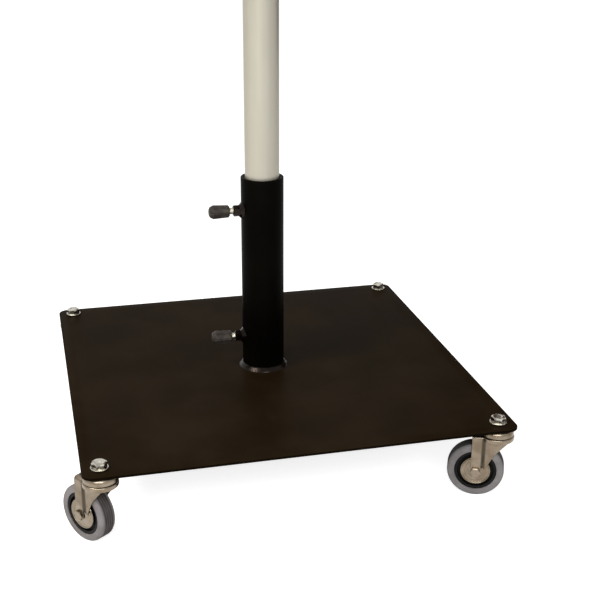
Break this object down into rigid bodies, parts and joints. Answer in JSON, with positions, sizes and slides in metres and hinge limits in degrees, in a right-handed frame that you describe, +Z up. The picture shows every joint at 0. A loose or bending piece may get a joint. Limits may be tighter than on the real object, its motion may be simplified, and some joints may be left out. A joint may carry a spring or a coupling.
{
  "type": "wheeled tank trap stand",
  "caption": "Square steel deck on swivel castors with a welded central socket whose hand screws clamp an upright alloy pole, for holding film and lighting gear.",
  "frame": {"origin": "on the floor, under the axis of the pole and the middle of the square deck", "axes": "+Z up along the pole, -X the side that the clamp screws point to, -Y the front of the deck"},
  "size_m": [0.649, 0.6, 1.6123],
  "materials": {
    "black_paint": "satin black paint, slightly warm",
    "castor_zinc": "dull warm zinc plating on pressed steel",
    "bright_zinc": "bright zinc-plated fasteners",
    "anodised_alloy": "satin extruded alloy, pale warm grey",
    "grey_rubber": "matt grey rubber",
    "black_plastic": "fine-grained black moulding",
    "brass": "turned brass"
  },
  "bodies": {
    "deck_assembly": {"deck_plate": "black_paint", "pole_socket": "black_paint", "socket_weld": "black_paint", "upper_weld_nut": "black_paint", "lower_weld_nut": "black_paint", "front_left_bolt": "bright_zinc", "front_left_washer": "bright_zinc", "front_left_bolt_nut": "bright_zinc", "front_left_swivel_cup": "castor_zinc", "front_left_kingpin": "castor_zinc", "front_right_bolt": "bright_zinc", "front_right_washer": "bright_zinc", "front_right_bolt_nut": "bright_zinc", "front_right_swivel_cup": "castor_zinc", "front_right_kingpin": "castor_zinc", "rear_left_bolt": "bright_zinc", "rear_left_washer": "bright_zinc", "rear_left_bolt_nut": "bright_zinc", "rear_left_swivel_cup": "castor_zinc", "rear_left_kingpin": "castor_zinc", "rear_right_bolt": "bright_zinc", "rear_right_washer": "bright_zinc", "rear_right_bolt_nut": "bright_zinc", "rear_right_swivel_cup": "castor_zinc", "rear_right_kingpin": "castor_zinc"},
    "pole_tube": {"pole": "anodised_alloy"},
    "upper_clamp_tip": {"upper_clamp_pad": "brass"},
    "upper_clamp_screw": {"upper_clamp_stud": "bright_zinc", "upper_clamp_knob": "black_plastic"},
    "lower_clamp_tip": {"lower_clamp_pad": "brass"},
    "lower_clamp_screw": {"lower_clamp_stud": "bright_zinc", "lower_clamp_knob": "black_plastic"},
    "front_left_castor": {"front_left_ball_race": "castor_zinc", "front_left_fork": "castor_zinc", "front_left_thread_guards": "castor_zinc", "front_left_axle_bolt": "bright_zinc", "front_left_axle_nut": "bright_zinc"},
    "front_left_wheel": {"front_left_tyre": "grey_rubber", "front_left_wheel_centre": "black_plastic"},
    "front_right_castor": {"front_right_ball_race": "castor_zinc", "front_right_fork": "castor_zinc", "front_right_thread_guards": "castor_zinc", "front_right_axle_bolt": "bright_zinc", "front_right_axle_nut": "bright_zinc"},
    "front_right_wheel": {"front_right_tyre": "grey_rubber", "front_right_wheel_centre": "black_plastic"},
    "rear_left_castor": {"rear_left_ball_race": "castor_zinc", "rear_left_fork": "castor_zinc", "rear_left_thread_guards": "castor_zinc", "rear_left_axle_bolt": "bright_zinc", "rear_left_axle_nut": "bright_zinc"},
    "rear_left_wheel": {"rear_left_tyre": "grey_rubber", "rear_left_wheel_centre": "black_plastic"},
    "rear_right_castor": {"rear_right_ball_race": "castor_zinc", "rear_right_fork": "castor_zinc", "rear_right_thread_guards": "castor_zinc", "rear_right_axle_bolt": "bright_zinc", "rear_right_axle_nut": "bright_zinc"},
    "rear_right_wheel": {"rear_right_tyre": "grey_rubber", "rear_right_wheel_centre": "black_plastic"}
  },
  "joints": [
    {"name": "pole_lift", "type": "slide", "parent": "deck_assembly", "child": "pole_tube", "axis": [0, 0, 1], "range_m": [0, 0.29]},
    {"name": "upper_clamp_travel", "type": "slide", "parent": "deck_assembly", "child": "upper_clamp_tip", "axis": [-1, 0, 0], "range_m": [0, 0.0075]},
    {"name": "upper_clamp_turn", "type": "hinge", "parent": "upper_clamp_tip", "child": "upper_clamp_screw", "pos_m": [-0.05, 0, 0.362], "axis": [-1, 0, 0], "range_deg": [0, 1800]},
    {"name": "lower_clamp_travel", "type": "slide", "parent": "deck_assembly", "child": "lower_clamp_tip", "axis": [-1, 0, 0], "range_m": [0, 0.0075]},
    {"name": "lower_clamp_turn", "type": "hinge", "parent": "lower_clamp_tip", "child": "lower_clamp_screw", "pos_m": [-0.05, 0, 0.162], "axis": [-1, 0, 0], "range_deg": [0, 1800]},
    {"name": "front_left_swivel", "type": "hinge", "parent": "deck_assembly", "child": "front_left_castor", "pos_m": [-0.276, -0.276, 0.1], "axis": [0, 0, 1], "continuous": true},
    {"name": "front_left_wheel_spin", "type": "hinge", "parent": "front_left_castor", "child": "front_left_wheel", "pos_m": [-0.29236, -0.25452, 0.04], "axis": [-0.7955, -0.606, 0], "continuous": true},
    {"name": "front_right_swivel", "type": "hinge", "parent": "deck_assembly", "child": "front_right_castor", "pos_m": [0.276, -0.276, 0.1], "axis": [0, 0, 1], "continuous": true},
    {"name": "front_right_wheel_spin", "type": "hinge", "parent": "front_right_castor", "child": "front_right_wheel", "pos_m": [0.25128, -0.26515, 0.04], "axis": [-0.4019, -0.9157, 0], "continuous": true},
    {"name": "rear_left_swivel", "type": "hinge", "parent": "deck_assembly", "child": "rear_left_castor", "pos_m": [-0.276, 0.276, 0.1], "axis": [0, 0, 1], "continuous": true},
    {"name": "rear_left_wheel_spin", "type": "hinge", "parent": "rear_left_castor", "child": "rear_left_wheel", "pos_m": [-0.25063, 0.26677, 0.04], "axis": [0.342, 0.9397, 0], "continuous": true},
    {"name": "rear_right_swivel", "type": "hinge", "parent": "deck_assembly", "child": "rear_right_castor", "pos_m": [0.276, 0.276, 0.1], "axis": [0, 0, 1], "continuous": true},
    {"name": "rear_right_wheel_spin", "type": "hinge", "parent": "rear_right_castor", "child": "rear_right_wheel", "pos_m": [0.29236, 0.25452, 0.04], "axis": [0.7955, 0.606, 0], "continuous": true}
  ],
  "couplings": [
    {"joint": "upper_clamp_turn", "follows": "upper_clamp_travel", "rad_per_m": 4188.8},
    {"joint": "lower_clamp_turn", "follows": "lower_clamp_travel", "rad_per_m": 4188.8}
  ]
}
